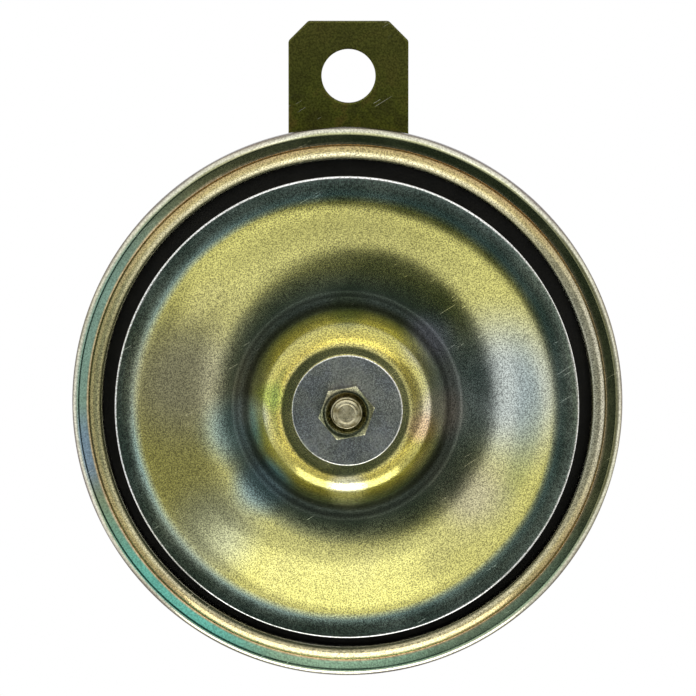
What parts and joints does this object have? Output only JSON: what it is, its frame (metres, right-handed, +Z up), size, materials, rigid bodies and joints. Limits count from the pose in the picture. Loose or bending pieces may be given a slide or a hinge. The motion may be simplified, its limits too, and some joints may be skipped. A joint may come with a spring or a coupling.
{
  "type": "disc horn",
  "caption": "Electric vehicle disc horn: pressed round housing, dished tone disc on a centre stud, rear coil pot and a flat strip bracket with one bolt hole.",
  "frame": {"origin": "centre of the bracket's mounting hole, midway through the strip", "axes": "+Z up the bracket away from the horn, -Y the way the horn sounds (tone disc side), +Y the way the bracket's rear face looks, +X to the right seen from the front"},
  "size_m": [0.09, 0.0534, 0.1062],
  "materials": {
    "yellow_zinc": "yellow chromate over zinc plate, iridescent",
    "bracket_zinc": "yellow chromate over zinc plate, dull and scratched",
    "clear_zinc": "clear zinc plate",
    "turned_steel": "turned, lightly chromated",
    "black_lacquer": "black stove lacquer",
    "spring_steel": "blued spring steel",
    "magnet_steel": "zinc-plated soft iron",
    "copper_wire": "enamelled copper",
    "tinned_brass": "tinned brass",
    "contact_alloy": "contact metal",
    "black_nylon": "moulded",
    "brown_fibre": "pressed board",
    "gasket_paper": "oiled gasket sheet",
    "lead_cover": "insulated lead"
  },
  "bodies": {
    "horn_body": {"housing": "yellow_zinc", "front_ring": "yellow_zinc", "rear_gasket": "gasket_paper", "front_gasket": "gasket_paper", "diaphragm": "black_lacquer", "core": "magnet_steel", "coil_bobbin": "black_nylon", "coil_winding": "copper_wire", "coil_retainer": "spring_steel", "insulator_pad": "brown_fibre", "insulator_spacer": "brown_fibre", "insulator_cap": "brown_fibre", "breaker_plate": "clear_zinc", "fixed_contact": "contact_alloy", "fixed_contact_bar": "tinned_brass", "breaker_rivets": "clear_zinc", "contact_lead": "lead_cover", "adjusting_nut": "clear_zinc", "terminal_base": "black_nylon", "terminal_backing": "brown_fibre", "terminal_blade_left": "tinned_brass", "terminal_blade_right": "tinned_brass", "terminal_rivets": "tinned_brass", "bracket": "bracket_zinc", "lock_washer": "clear_zinc", "back_nut": "yellow_zinc"},
    "striker": {"armature": "turned_steel", "clamp_washer_rear": "clear_zinc", "clamp_washer_front": "clear_zinc", "clamp_nut": "clear_zinc", "tone_disc": "yellow_zinc", "disc_washer": "clear_zinc", "disc_nut": "yellow_zinc"},
    "contact_arm": {"contact_arm": "spring_steel", "moving_contact": "contact_alloy"},
    "adjusting_screw": {"adjusting_screw": "clear_zinc"}
  },
  "joints": [
    {"name": "armature_stroke", "type": "slide", "parent": "horn_body", "child": "striker", "axis": [0, 1, 0], "range_m": [0, 0.0006], "stiffness_N_per_m": 20000, "deforming": ["diaphragm"]},
    {"name": "contact_arm_lift", "type": "hinge", "parent": "horn_body", "child": "contact_arm", "pos_m": [0.032, -0.02015, -0.052], "axis": [0, 0, -1], "range_deg": [0, 1.9]},
    {"name": "adjusting_screw_turn", "type": "hinge", "parent": "horn_body", "child": "adjusting_screw", "pos_m": [0.0273, -0.009, -0.052], "axis": [0, 1, 0], "range_deg": [-180, 180]}
  ],
  "couplings": [
    {"joint": "contact_arm_lift", "follows": "armature_stroke", "rad_per_m": 54.054}
  ]
}
